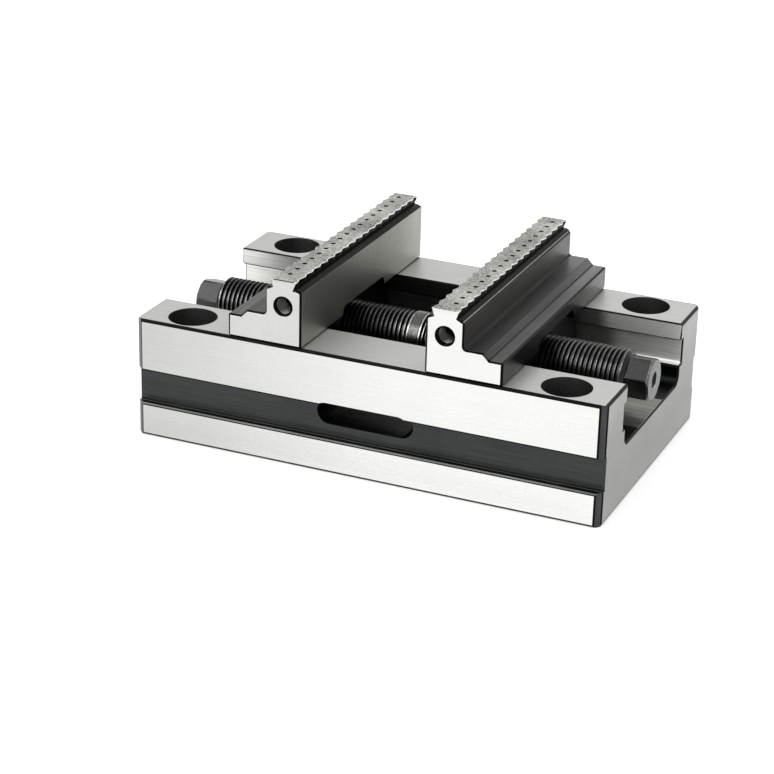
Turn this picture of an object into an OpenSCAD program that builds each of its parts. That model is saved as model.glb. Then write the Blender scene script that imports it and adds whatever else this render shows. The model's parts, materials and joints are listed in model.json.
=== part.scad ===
// Self-centering vise. One screw with a left-hand and a right-hand thread draws
// two toothed jaws together, or apart, at the same rate over a channelled steel body.
// Millimetres. X runs along the screw, Y across the jaws and Z up.
// The origin is on the underside, below the middle of the screw.

/* [Body] */
// Length of the body along the screw
body_length = 150; // [140:1:190]
// Width of the body, and of both jaws
body_width = 90; // [88:1:110]
// Height of the body up to the rail tops
body_height = 38; // [37:0.5:46]
// Chamfer on the four upright corners
corner_chamfer = 2; // [1:0.25:3]
// Small chamfer along the top and bottom edges
edge_chamfer = 0.6; // [0.2:0.1:1]

/* [Jaw channel] */
// Width of the channel between the rails
channel_width = 52; // [48:0.5:53]
// Depth of the channel below the rail tops
channel_depth = 19.5; // [18.5:0.5:21]
// Fillet between the channel floor and its walls
floor_fillet = 3; // [1:0.5:3]
// Thickness of the lip above each guide groove
lip_thickness = 5.7; // [4:0.1:7]
// Small chamfer along the upper edges of the channel
channel_chamfer = 0.4; // [0.2:0.1:0.8]
// Depth of each guide groove into its rail
guide_depth = 2.25; // [1.5:0.05:2.5]
// Height of each guide groove
guide_height = 8; // [6:0.5:9]

/* [Side grooves and slots] */
// Height of the lower edge of the side grooves above the underside
side_groove_base = 10.8; // [9:0.1:12]
// Height of the side grooves
side_groove_height = 10.8; // [8:0.1:12]
// Depth of the side grooves
side_groove_depth = 3; // [1.5:0.25:3.5]
// Length of the round-ended drain slot through both sides
drain_length = 31; // [26:0.5:40]
// Height of the drain slot
drain_height = 8; // [6.5:0.5:9]
// Height of the drain slot's lower edge above the underside
drain_base = 14.5; // [14:0.5:15.5]

/* [Mounting holes] */
// Distance of the mounting holes from the ends of the body
bolt_end_margin = 15; // [12:0.5:20]
// Distance of the mounting holes from the long sides
bolt_side_margin = 8.75; // [8.25:0.05:8.9]
// Diameter of the through holes
bolt_hole_d = 9; // [6.6:0.1:10]
// Diameter of the counterbores for the screw heads
counterbore_d = 15; // [11:0.5:15]
// Depth of the counterbores
counterbore_depth = 9; // [6:0.5:12]

/* [Lead screw] */
// Depth of the screw's axis below the rail tops
screw_drop = 8.6; // [8.2:0.1:10]
// How far each end of the screw stands out of the body
screw_overhang = 0; // [0:0.5:6]
// Outer diameter of the thread
thread_d = 16; // [14:0.5:16]
// Pitch of the thread
thread_pitch = 1.5; // [1:0.25:2.5]
// Diameter of the plain journal at the middle
journal_d = 11; // [9:0.25:11.5]
// Width across the flats of the hexagon ends
hex_flats = 12; // [8:0.5:13]
// Length of each hexagon end
hex_length = 7.5; // [6:0.5:12]
// Turn of the hexagons about the screw's axis, in degrees
hex_turn = 45; // [0:1:59]
// Mouth diameter of the centre holes in the ends
centre_hole_d = 5.4; // [3:0.1:6]

/* [Screw bracket] */
// Thickness of the bracket that holds the journal, along the screw
bracket_thickness = 3; // [2.5:0.25:6]
// Radius of the bracket's rounded top
bracket_radius = 8.1; // [7.8:0.05:8.3]
// Width across the bracket's upright
upright_width = 25.8; // [22:0.2:26.4]
// Size along the screw of the bracket's feet
bracket_foot_length = 22; // [20:0.5:23]
// Width over both of the bracket's feet
bracket_feet_width = 42; // [39:0.5:45]
// Thickness of the bracket's feet
bracket_foot_thickness = 6; // [5.5:0.25:7]

/* [Jaws] */
// Opening between the jaws' inner faces as drawn
jaw_gap = 39.2; // [16:0.2:80]
// Length of the jaw's foot along the screw
jaw_length = 24; // [23:0.5:28]
// Thickness of the upright part of the jaw
jaw_wall = 11.8; // [11:0.1:13]
// Height of the ledge that the work rests on, above the rails
ledge_height = 17.9; // [14:0.1:30]
// Width of the slope along both edges of the ledge
ledge_slope_width = 1.3; // [0.5:0.1:1.5]
// Drop of that slope at the jaw's faces
ledge_slope_drop = 0.65; // [0.3:0.05:0.9]
// Height of the upper shelf of the foot
shelf_height = 9.2; // [8.6:0.1:12]
// Reach of the upper shelf from the inner face
shelf_reach = 17.9; // [17:0.1:19]
// Height of the lower shelf of the foot
foot_height = 7.2; // [7:0.1:8]
// Radius of the fillet between the upper shelf and the upright part
shelf_fillet = 1; // [0.5:0.25:2]
// Small chamfer on the jaw's edges
jaw_chamfer = 0.5; // [0.2:0.1:0.6]

/* [Jaw teeth] */
// Height of the toothed head above the ledge
head_height = 2.5; // [2:0.25:5]
// Width of the toothed head over the tooth tips
head_width = 8.6; // [7:0.1:9]
// Width of the inner ledge beside the head
head_inset = 1.6; // [1.2:0.1:2.5]
// Undercut on each side at the foot of the head
head_undercut = 1; // [0.4:0.05:1.2]
// Spacing of the teeth along the head
tooth_pitch = 5; // [3:0.25:8]
// Depth of the notches between the teeth
tooth_depth = 0.85; // [0.4:0.05:1.3]
// Shift of the teeth and pits towards the back
tooth_shift = 1.1; // [0:0.1:2]
// Distance of the row of pits outwards from the middle of the head
pit_row_out = 0.8; // [0:0.1:1]
// Diameter of the pits along the top of the head
pit_d = 1.6; // [1:0.1:2]
// Depth of the pits
pit_depth = 0.5; // [0.3:0.1:0.8]

/* [Stop holes in the jaw ends] */
// Distance of the stop holes from the jaw's inner face
stop_hole_inset = 6; // [5:0.1:6.5]
// Height of the stop holes above the rails
stop_hole_height = 12.3; // [11:0.1:13]
// Tapping diameter of the stop holes
stop_hole_d = 5; // [4.2:0.1:5]
// Depth of the stop holes
stop_hole_depth = 14; // [8:0.5:20]

/* [Slide nuts] */
// Distance of the slide nut behind the jaw's inner face
nut_setback = 4; // [3.5:0.1:6]
// Length of the slide nut along the screw
nut_length = 17; // [16.5:0.1:18]
// Width of the tenon that keys the slide nut into the jaw
tenon_width = 31; // [28:0.5:32]
// Height of the keyway in the jaw's underside
keyway_height = 3.2; // [2.5:0.1:3.5]
// Radius of the keyway's upper corners
keyway_radius = 2; // [1:0.25:2.5]

/* [Fasteners] */
// Thread diameter of the screws that hold each jaw on its slide nut
jaw_screw_d = 4; // [3:1:4]
// Reach of the jaw screws into the jaw
jaw_screw_reach = 5.5; // [4:0.5:6]
// Distance of the jaw screws inwards from the channel's walls
jaw_screw_margin = 5.5; // [5.2:0.1:5.8]
// Thread diameter of the screws that hold the bracket
bracket_screw_d = 4; // [3:1:4]
// Reach of the bracket screws into its feet
bracket_screw_reach = 5.4; // [4:0.1:5.4]
// Diameter of the dowel pins
dowel_d = 4; // [3:0.5:4]
// Length of the dowel pins
dowel_length = 10; // [8:0.5:11]
// Distance of the jaw dowels from the vise's middle plane
jaw_dowel_side = 12; // [11:0.25:12.5]

/* [Clearances] */
// Running gap between the moving pieces and the body
slide_gap = 0.05; // [0.02:0.01:0.1]
// Radial running gap at the journal and at the screw's crests
bore_gap = 0.05; // [0.02:0.01:0.1]
// Gap between pieces that are bolted or pinned together
fit_gap = 0.02; // [0.01:0.01:0.05]
// Gap between the slide nut and the channel floor
floor_gap = 0.4; // [0.2:0.1:1]

/* [Hidden] */

// How far a cut runs past the face it opens, and a joined shape into its neighbour
past = 1;
round_fn = 64;

body_colour = "gainsboro";
jaw_colour = "silver";
oxide_colour = "dimgray";

// Heights in the body
floor_z = body_height - channel_depth;
lip_z = body_height - lip_thickness;
guide_z = lip_z - guide_height;
screw_z = body_height - screw_drop;

// Places along the screw
thread_r = thread_d / 2;
journal_r = journal_d / 2;
thread_depth = 0.6134 * thread_pitch;
screw_end = body_length / 2 + screw_overhang;
thread_end = screw_end - hex_length;
journal_half = bracket_thickness / 2 + slide_gap;
shoulder = 0.6;
thread_runout = 1;

// The bracket's feet lie in pockets in the channel floor, flush with the drain trough.
// They pass down beside the screw with a gap of bracket_pass.
bracket_pass = 0.6;
foot_top_z = drain_base;
foot_base_z = foot_top_z - bracket_foot_thickness;
foot_inner = thread_r + bracket_pass;
foot_chamfer = 1.5;
bracket_screw_x = bracket_foot_length / 2 - foot_edge(bracket_screw_d);
bracket_screw_y = (foot_inner + bracket_feet_width / 2) / 2;

// Jaw and slide nut, measured outwards from the jaw's inner face
head_top = ledge_height + head_height;
nut_end = nut_setback + nut_length;
nut_skin = 0.7;
jaw_screw_inner = nut_setback + nut_edge(jaw_screw_d);
jaw_screw_outer = nut_end - nut_edge(jaw_screw_d);
jaw_screw_side = channel_width / 2 - jaw_screw_margin;
jaw_dowel_out = (jaw_screw_inner + jaw_screw_outer) / 2;
nut_base_z = floor_z + floor_gap;
jaw_z = body_height + slide_gap;

// Socket head screws: the head is 1.7 thread diameters wide and one high. Their holes
// are a little wider, and a tapped hole is tap_runout deeper than its screw reaches.
function head_d(d) = 1.7 * d;
function head_seat(d) = d + 0.4;
function head_clearance(d) = head_d(d) + 0.6;
function shank_clearance(d) = d + 0.5;
function foot_edge(d) = 0.9 * d;
function nut_edge(d) = head_clearance(d) / 2 + nut_skin;
tap_runout = 0.5;
dowel_slack = 0.3;

// Turns a shape drawn in the Y-Z plane, as (y, z), into a bar along X
module along_x(x0, x1) {
    translate([x0, 0, 0])
        rotate([90, 0, 90])
            linear_extrude(height = x1 - x0) children();
}

// Turns a shape drawn in the X-Z plane, as (x, z), into a bar across Y
module across_y(width) {
    translate([0, width / 2, 0])
        rotate([90, 0, 0])
            linear_extrude(height = width) children();
}

// A solid of revolution about the screw's axis, drawn as (radius, x)
module about_screw() {
    translate([0, 0, screw_z])
        rotate([0, 90, 0])
            rotate_extrude($fn = round_fn) children();
}

// Places its child at each of the four corners of a rectangle
module at_corners(x, y) {
    for (sx = [-1, 1], sy = [-1, 1])
        translate([sx * x, sy * y, 0]) children();
}

// Rectangle between two corners, with its four corners cut at 45 degrees
module chamfered_box(x0, y0, x1, y1, c) {
    polygon([[x0 + c, y0], [x1 - c, y0], [x1, y0 + c], [x1, y1 - c],
             [x1 - c, y1], [x0 + c, y1], [x0, y1 - c], [x0, y0 + c]]);
}

// Flat slot with round ends, centred, length along X
module round_slot(length, height) {
    square([length - height, height], center = true);
    for (s = [-1, 1])
        translate([s * (length - height) / 2, 0]) circle(d = height, $fn = round_fn);
}

// Socket head screw standing on its head's seat at z = 0, thread upwards
module cap_screw(d, length) {
    cylinder(d = d - 2 * fit_gap, h = length, $fn = round_fn);
    difference() {
        translate([0, 0, -d]) cylinder(d = head_d(d), h = d, $fn = round_fn);
        translate([0, 0, -d - past])
            cylinder(d = d, h = 0.5 * d + past, $fn = 6);
    }
}

// Dowel pin with bevelled ends, standing on z = 0
module dowel_pin() {
    bevel = 0.4;
    r = dowel_d / 2 - fit_gap;
    rotate_extrude($fn = round_fn)
        polygon([[0, 0], [r - bevel, 0], [r, bevel], [r, dowel_length - bevel],
                 [r - bevel, dowel_length], [0, dowel_length]]);
}

// Right jaw's place, and the left jaw as its mirror image
module on_side(side) {
    mirror([side < 0 ? 1 : 0, 0, 0])
        translate([jaw_gap / 2, 0, 0]) children();
}

// Half of the channel's section, from the middle plane to the right-hand wall
module channel_half() {
    half = channel_width / 2;
    // Body of the channel, with the fillet at the foot of its wall
    difference() {
        translate([-past, floor_z]) square([half + past, channel_depth + past]);
        translate([half - floor_fillet, floor_z])
            difference() {
                translate([0, -past]) square([floor_fillet + past, floor_fillet + past]);
                translate([0, floor_fillet]) circle(r = floor_fillet, $fn = round_fn);
            }
    }
    // Guide groove under the lip
    translate([0, guide_z]) square([half + guide_depth, guide_height]);
    // Chamfer along the upper edge
    polygon([[half - past, body_height - channel_chamfer], [half, body_height - channel_chamfer],
             [half + channel_chamfer, body_height], [half + channel_chamfer, body_height + past],
             [half - past, body_height + past]]);
}

// Section of the body across the screw
module body_section() {
    half = body_width / 2;
    groove_top = side_groove_base + side_groove_height;
    difference() {
        chamfered_box(-half, 0, half, body_height, edge_chamfer);
        for (s = [0, 1])
            mirror([s, 0]) {
                channel_half();
                // Side groove, with its lower edge eased
                polygon([[half + past, side_groove_base - edge_chamfer - past],
                         [half, side_groove_base - edge_chamfer],
                         [half - edge_chamfer, side_groove_base],
                         [half - side_groove_depth, side_groove_base],
                         [half - side_groove_depth, groove_top],
                         [half + past, groove_top]]);
            }
    }
}

module vise_body() {
    bolt_x = body_length / 2 - bolt_end_margin;
    bolt_y = body_width / 2 - bolt_side_margin;
    color(body_colour)
    difference() {
        intersection() {
            along_x(-body_length / 2, body_length / 2) body_section();
            across_y(body_width + 2 * past)
                chamfered_box(-body_length / 2, 0, body_length / 2, body_height, edge_chamfer);
            translate([0, 0, -past])
                linear_extrude(height = body_height + 2 * past)
                    chamfered_box(-body_length / 2, -body_width / 2,
                                  body_length / 2, body_width / 2, corner_chamfer);
        }
        // Drain slot through both sides, and a trough across the floor
        translate([0, 0, drain_base + drain_height / 2])
            across_y(body_width + 2 * past) round_slot(drain_length, drain_height);
        // Mounting holes
        at_corners(bolt_x, bolt_y) {
            translate([0, 0, -past])
                cylinder(d = bolt_hole_d, h = body_height + 2 * past, $fn = round_fn);
            translate([0, 0, body_height - counterbore_depth])
                cylinder(d = counterbore_d, h = counterbore_depth + past, $fn = round_fn);
        }
        // Pockets in the floor for the bracket's feet
        bracket_feet(floor_z + past - foot_base_z, fit_gap);
        // Holes in the underside for the bracket's screws and dowels
        at_corners(bracket_screw_x, bracket_screw_y)
            translate([0, 0, -past]) {
                cylinder(d = shank_clearance(bracket_screw_d), h = foot_base_z + 2 * past,
                         $fn = round_fn);
                cylinder(d = head_clearance(bracket_screw_d),
                         h = head_seat(bracket_screw_d) + past, $fn = round_fn);
            }
        for (s = [-1, 1])
            translate([0, s * bracket_screw_y, -past])
                cylinder(d = dowel_d, h = foot_base_z + 2 * past, $fn = round_fn);
    }
}

// One thread groove after another, as (radius, x) points going outwards. Each takes a
// pitch: an eighth for the crest, then the flank down, a quarter for the root, and the
// flank up.
function thread_points(x0, count) = [
    for (i = [0 : count - 1])
        for (p = [[thread_r, 0], [thread_r, 1 / 8], [thread_r - thread_depth, 7 / 16],
                  [thread_r - thread_depth, 11 / 16]])
            [p[0], x0 + (i + p[1]) * thread_pitch]];

// Half of the screw's outline from the middle outwards, as (radius, x) points
function screw_half() =
    let (start = journal_half + shoulder,
         count = floor((thread_end - thread_runout - start) / thread_pitch))
    concat([[journal_r, journal_half], [thread_r, journal_half]],
           thread_points(start, count),
           [[thread_r, start + count * thread_pitch],
            [thread_r, thread_end - thread_runout],
            [thread_r - thread_runout, thread_end]]);

function mirrored(points) =
    [for (i = [len(points) - 1 : -1 : 0]) [points[i][0], -points[i][1]]];

module lead_screw() {
    hex_corner = hex_flats / 2 / cos(30);
    bevel = 0.8;
    mouth_r = centre_hole_d / 2;
    pilot_r = 1;
    pilot_depth = hex_length;
    color(oxide_colour)
    difference() {
        union() {
            about_screw()
                polygon(concat([[0, -thread_end]], mirrored(screw_half()),
                               screw_half(), [[0, thread_end]]));
            // Hexagon ends with bevelled corners
            for (s = [0, 1])
                mirror([s, 0, 0])
                    intersection() {
                        translate([0, 0, screw_z])
                            along_x(thread_end - past, screw_end)
                                rotate(hex_turn) circle(r = hex_corner, $fn = 6);
                        about_screw()
                            polygon([[0, thread_end - 2 * past],
                                     [hex_corner + past, thread_end - 2 * past],
                                     [hex_corner + past, screw_end - bevel - past / 2],
                                     [hex_corner - bevel, screw_end + past / 2],
                                     [0, screw_end + past / 2]]);
                    }
        }
        // Centre holes: a pilot with a 60 degree mouth
        for (s = [0, 1])
            mirror([s, 0, 0])
                about_screw()
                    polygon([[0, screw_end - pilot_depth],
                             [pilot_r, screw_end - pilot_depth + pilot_r / 2],
                             [pilot_r, screw_end - (mouth_r - pilot_r) * tan(60)],
                             [mouth_r, screw_end],
                             [mouth_r, screw_end + past], [0, screw_end + past]]);
    }
}

// Jaw section in the X-Z plane, from the inner face outwards, with z from the rails
module jaw_section() {
    c = jaw_chamfer;
    f = shelf_fillet;
    edge = ledge_height - ledge_slope_drop;
    difference() {
        polygon([[c, 0], [jaw_length - c, 0], [jaw_length, c],
                 [jaw_length, foot_height - c], [jaw_length - c, foot_height],
                 [shelf_reach + shelf_height - foot_height, foot_height],
                 [shelf_reach, shelf_height],
                 [jaw_wall + f, shelf_height], [jaw_wall, shelf_height + f],
                 [jaw_wall, edge], [jaw_wall - ledge_slope_width, ledge_height],
                 [ledge_slope_width, ledge_height], [0, edge], [0, c]]);
        // Hollow fillet at the foot of the upright part
        translate([jaw_wall + f, shelf_height + f]) circle(r = f, $fn = round_fn);
    }
}

// Head section in the X-Z plane, wider at the top than at its foot
module head_section() {
    polygon([[head_inset + head_undercut, ledge_height - past],
             [head_inset + head_width - head_undercut, ledge_height - past],
             [head_inset + head_width - head_undercut, ledge_height],
             [head_inset + head_width, head_top],
             [head_inset, head_top],
             [head_inset + head_undercut, ledge_height]]);
}

// Plan of the toothed head: a zigzag along both long edges, full width at the ends.
// Each point of the zigzag is (notch, y), with the depth of the notch there.
module tooth_plan() {
    count = floor(body_width / tooth_pitch);
    start = tooth_shift - count * tooth_pitch / 2;
    end = body_width / 2;
    zigzag = concat([[0, -end]],
                    [for (i = [0 : 2 * count])
                        let (y = start + i * tooth_pitch / 2)
                            if (abs(y) < end - tooth_depth / 2)
                                [i % 2 == 0 ? 0 : tooth_depth, y]],
                    [[0, end]]);
    last = len(zigzag) - 1;
    polygon(concat([for (p = zigzag) [head_inset + p[0], p[1]]],
                   [for (i = [last : -1 : 0])
                       [head_inset + head_width - zigzag[i][0], zigzag[i][1]]]));
}

// Keyway under the jaw, and the tenon that fits it, in the Y-Z plane
module keyway(width, height) {
    r = keyway_radius;
    translate([-width / 2, -past]) square([width, height - r + past]);
    translate([-width / 2 + r, 0]) square([width - 2 * r, height]);
    for (s = [-1, 1])
        translate([s * (width / 2 - r), height - r]) circle(r = r, $fn = round_fn);
}

module jaw(side) {
    pits = floor(body_width / tooth_pitch) - 1;
    mouth = 0.7;
    drill_tip = 0.6 * stop_hole_d / 2;
    color(jaw_colour)
    on_side(side)
        translate([0, 0, jaw_z])
            difference() {
                union() {
                    intersection() {
                        across_y(body_width) jaw_section();
                        translate([0, 0, -past])
                            linear_extrude(height = head_top + 2 * past)
                                chamfered_box(0, -body_width / 2, jaw_length,
                                              body_width / 2, jaw_chamfer);
                    }
                    intersection() {
                        across_y(body_width) head_section();
                        linear_extrude(height = head_top + past) tooth_plan();
                    }
                }
                // Row of pits along the head
                for (i = [0 : pits - 1])
                    translate([head_inset + head_width / 2 + pit_row_out,
                               tooth_shift + (i - (pits - 1) / 2) * tooth_pitch,
                               head_top - pit_depth])
                        cylinder(d1 = 0.3 * pit_d, d2 = pit_d, h = pit_depth + 0.01,
                                 $fn = 32);
                // Keyway for the slide nut
                along_x(-past, jaw_length + past) keyway(tenon_width, keyway_height);
                // Tapped holes for the jaw screws and holes for the dowels
                for (x = [jaw_screw_inner, jaw_screw_outer], s = [-1, 1])
                    translate([x, s * jaw_screw_side, -past])
                        cylinder(d = jaw_screw_d, h = jaw_screw_reach + tap_runout + past,
                                 $fn = round_fn);
                for (s = [-1, 1])
                    translate([jaw_dowel_out, s * jaw_dowel_side, 0])
                        cylinder(d = dowel_d, h = keyway_height + dowel_length / 2 + dowel_slack,
                                 $fn = round_fn);
                // Tapped stop holes in both ends
                for (s = [0, 1])
                    mirror([0, s, 0])
                        translate([stop_hole_inset, -body_width / 2, stop_hole_height])
                            rotate([-90, 0, 0])
                                rotate_extrude($fn = round_fn)
                                    polygon([[0, -past], [stop_hole_d / 2 + mouth, -past],
                                             [stop_hole_d / 2 + mouth, 0],
                                             [stop_hole_d / 2, mouth],
                                             [stop_hole_d / 2, stop_hole_depth],
                                             [0, stop_hole_depth + drill_tip]]);
            }
}

module jaw_left() { jaw(-1); }
module jaw_right() { jaw(1); }

// Section of the slide nut across the screw
module nut_section() {
    half = channel_width / 2 - slide_gap;
    wing = channel_width / 2 + guide_depth - slide_gap;
    flank = [[half - floor_fillet, nut_base_z], [half, nut_base_z + floor_fillet],
             [half, guide_z + slide_gap], [wing, guide_z + slide_gap],
             [wing, lip_z - slide_gap], [half, lip_z - slide_gap],
             [half, body_height - slide_gap]];
    polygon(concat(flank, [for (i = [len(flank) - 1 : -1 : 0]) [-flank[i][0], flank[i][1]]]));
    translate([0, jaw_z]) keyway(tenon_width - 2 * fit_gap, keyway_height - fit_gap);
}

module slide_nut(side) {
    bore_r = thread_r + bore_gap;
    ease = 0.6;
    color(oxide_colour)
    on_side(side)
        difference() {
            along_x(nut_setback, nut_end) nut_section();
            // Bore for the screw, eased at both mouths
            translate([0, 0, screw_z])
                rotate([0, 90, 0])
                    rotate_extrude($fn = round_fn)
                        polygon([[0, nut_setback - past], [bore_r + ease, nut_setback - past],
                                 [bore_r + ease, nut_setback], [bore_r, nut_setback + ease],
                                 [bore_r, nut_end - ease], [bore_r + ease, nut_end],
                                 [bore_r + ease, nut_end + past], [0, nut_end + past]]);
            // Holes for the jaw screws, sunk from below
            for (x = [jaw_screw_inner, jaw_screw_outer], s = [-1, 1])
                translate([x, s * jaw_screw_side, nut_base_z]) {
                    translate([0, 0, -past])
                        cylinder(d = shank_clearance(jaw_screw_d), h = channel_depth + keyway_height,
                                 $fn = round_fn);
                    translate([0, 0, -past])
                        cylinder(d = head_clearance(jaw_screw_d),
                                 h = head_seat(jaw_screw_d) + past, $fn = round_fn);
                }
            // Blind holes for the dowels
            for (s = [-1, 1])
                translate([jaw_dowel_out, s * jaw_dowel_side,
                           jaw_z + keyway_height - dowel_length / 2 - dowel_slack])
                    cylinder(d = dowel_d, h = dowel_length, $fn = round_fn);
        }
}

module slide_nut_left() { slide_nut(-1); }
module slide_nut_right() { slide_nut(1); }

module jaw_screws(side) {
    seat_z = nut_base_z + head_seat(jaw_screw_d);
    color(oxide_colour)
    on_side(side)
        for (x = [jaw_screw_inner, jaw_screw_outer], s = [-1, 1])
            translate([x, s * jaw_screw_side, seat_z])
                cap_screw(jaw_screw_d, jaw_z + jaw_screw_reach - seat_z);
}

module jaw_screws_left() { jaw_screws(-1); }
module jaw_screws_right() { jaw_screws(1); }

module jaw_dowels(side) {
    color(jaw_colour)
    on_side(side)
        for (s = [-1, 1])
            translate([jaw_dowel_out, s * jaw_dowel_side,
                       jaw_z + keyway_height - dowel_length / 2])
                dowel_pin();
}

module jaw_dowels_left() { jaw_dowels(-1); }
module jaw_dowels_right() { jaw_dowels(1); }

// The bracket's two feet, or with a gap the pockets for them
module bracket_feet(height, gap) {
    for (s = [0, 1])
        mirror([0, s, 0])
            translate([0, 0, foot_base_z])
                linear_extrude(height = height)
                    chamfered_box(-bracket_foot_length / 2 - gap, foot_inner - gap,
                                  bracket_foot_length / 2 + gap,
                                  bracket_feet_width / 2 + gap, foot_chamfer);
}

// Upright of the bracket in the Y-Z plane: a rounded top on a wider base
module bracket_upright() {
    half = upright_width / 2;
    translate([0, screw_z]) circle(r = bracket_radius, $fn = round_fn);
    polygon([[-half, foot_base_z + past], [-foot_inner, foot_base_z + past],
             [-foot_inner, foot_top_z + floor_gap], [foot_inner, foot_top_z + floor_gap],
             [foot_inner, foot_base_z + past], [half, foot_base_z + past],
             [half, screw_z - half + bracket_radius], [bracket_radius, screw_z],
             [-bracket_radius, screw_z], [-half, screw_z - half + bracket_radius]]);
}

module screw_bracket() {
    throat_r = journal_r + bore_gap;
    color(oxide_colour)
    difference() {
        union() {
            along_x(-bracket_thickness / 2, bracket_thickness / 2) bracket_upright();
            bracket_feet(bracket_foot_thickness, 0);
        }
        // Throat for the journal, open downwards
        along_x(-bracket_thickness / 2 - past, bracket_thickness / 2 + past) {
            translate([0, screw_z]) circle(r = throat_r, $fn = round_fn);
            translate([-throat_r, foot_top_z - past])
                square([2 * throat_r, screw_z - foot_top_z + past]);
        }
        // Tapped holes and dowel holes through the feet
        at_corners(bracket_screw_x, bracket_screw_y)
            translate([0, 0, foot_base_z - past])
                cylinder(d = bracket_screw_d, h = bracket_foot_thickness + 2 * past,
                         $fn = round_fn);
        for (s = [-1, 1])
            translate([0, s * bracket_screw_y, foot_base_z - past])
                cylinder(d = dowel_d, h = dowel_length / 2 + dowel_slack + past, $fn = round_fn);
    }
}

module bracket_screws() {
    seat_z = head_seat(bracket_screw_d);
    color(oxide_colour)
    at_corners(bracket_screw_x, bracket_screw_y)
        translate([0, 0, seat_z])
            cap_screw(bracket_screw_d, foot_base_z + bracket_screw_reach - seat_z);
}

module bracket_dowels() {
    color(jaw_colour)
    for (s = [-1, 1])
        translate([0, s * bracket_screw_y, foot_base_z - dowel_length / 2]) dowel_pin();
}

vise_body();
lead_screw();
jaw_left();
jaw_right();
slide_nut_left();
slide_nut_right();
jaw_screws_left();
jaw_screws_right();
jaw_dowels_left();
jaw_dowels_right();
screw_bracket();
bracket_screws();
bracket_dowels();
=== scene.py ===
"""Self-centering vise: its finishes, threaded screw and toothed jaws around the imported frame.

Everything is in metres in the frame's own axes: X along the screw, Y across the jaws, Z up.
Sizes in the dataclasses are written in millimetres and turned to metres where a mesh is made.
"""

import json
import logging
import math
from dataclasses import dataclass
from enum import Enum
from typing import Any, Sequence

import bmesh
import bpy
from mathutils import Matrix, Vector

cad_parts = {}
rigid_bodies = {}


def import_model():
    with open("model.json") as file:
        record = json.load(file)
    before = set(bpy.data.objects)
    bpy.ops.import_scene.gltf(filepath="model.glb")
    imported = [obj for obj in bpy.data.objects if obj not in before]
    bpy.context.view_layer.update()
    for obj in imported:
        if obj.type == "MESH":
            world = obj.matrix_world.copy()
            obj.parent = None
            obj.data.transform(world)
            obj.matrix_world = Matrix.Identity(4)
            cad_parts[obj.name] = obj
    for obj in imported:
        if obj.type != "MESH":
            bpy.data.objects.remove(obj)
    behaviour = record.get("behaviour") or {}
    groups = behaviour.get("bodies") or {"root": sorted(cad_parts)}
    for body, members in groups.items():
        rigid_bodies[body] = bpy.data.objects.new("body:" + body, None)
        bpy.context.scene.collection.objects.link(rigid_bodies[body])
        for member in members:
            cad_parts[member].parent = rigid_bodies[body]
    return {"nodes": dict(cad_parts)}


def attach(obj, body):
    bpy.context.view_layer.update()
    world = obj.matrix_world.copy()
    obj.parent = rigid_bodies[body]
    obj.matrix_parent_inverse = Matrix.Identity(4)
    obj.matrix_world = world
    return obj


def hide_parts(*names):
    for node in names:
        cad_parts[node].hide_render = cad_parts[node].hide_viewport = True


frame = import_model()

LOG = logging.getLogger("vise")
MM = 0.001
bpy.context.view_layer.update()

# How near points of a mesh are joined, in metres: those of a CAD solid, and those made here
CAD_WELD = 1e-6
WELD = 1e-7
SLIVER = 1e-8

Span = tuple[str, float, float]


class Side(Enum):
    """The two ends of the vise, by the sign of X."""

    LEFT = -1
    RIGHT = 1

    @property
    def word(self) -> str:
        """The side's name as the nodes and bodies use it."""
        return self.name.lower()


class Slot(Enum):
    """The record's material slots of the pieces that are built here."""

    GROUND = "ground_steel"
    JAW = "hardened_jaw_steel"
    OXIDE = "black_oxide_steel"


def linear(code: str) -> tuple[float, float, float, float]:
    """Turns an sRGB hex colour into linear RGBA.

    Args:
        code: the colour as "#RRGGBB".

    Returns:
        Red, green, blue and an alpha of 1.
    """
    parts = [int(code[i:i + 2], 16) / 255 for i in (1, 3, 5)]
    return (*(c / 12.92 if c <= 0.04045 else ((c + 0.055) / 1.055) ** 2.4 for c in parts), 1.0)


def clamp(value: float) -> float:
    """Keeps a value between 0 and 1."""
    return min(1.0, max(0.0, value))


def add_node(tree: bpy.types.NodeTree, kind: str, links: dict[Any, Any] | None = None,
             **settings: Any) -> bpy.types.Node:
    """Adds one node to a tree, with its settings and its inputs.

    Args:
        tree: the node tree.
        kind: the node's type, without "ShaderNode".
        links: input name or index to a plain value or to the output socket that feeds it.
        settings: the node's own properties.

    Returns:
        The new node.
    """
    node = tree.nodes.new("ShaderNode" + kind)
    for name, value in settings.items():
        setattr(node, name, value)
    for key, value in (links or {}).items():
        if isinstance(value, bpy.types.NodeSocket):
            tree.links.new(value, node.inputs[key])
        else:
            node.inputs[key].default_value = value
    return node


def blank_material(name: str) -> tuple[bpy.types.Material, bpy.types.NodeTree, bpy.types.Node]:
    """Makes an empty material with a Principled shader on its output.

    Args:
        name: the material's name.

    Returns:
        The material, its node tree and the shader node.
    """
    material = bpy.data.materials.new(name)
    material.use_nodes = True
    tree = material.node_tree
    tree.nodes.clear()
    shader = add_node(tree, "BsdfPrincipled")
    add_node(tree, "OutputMaterial", {"Surface": shader.outputs[0]})
    return material, tree, shader


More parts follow.
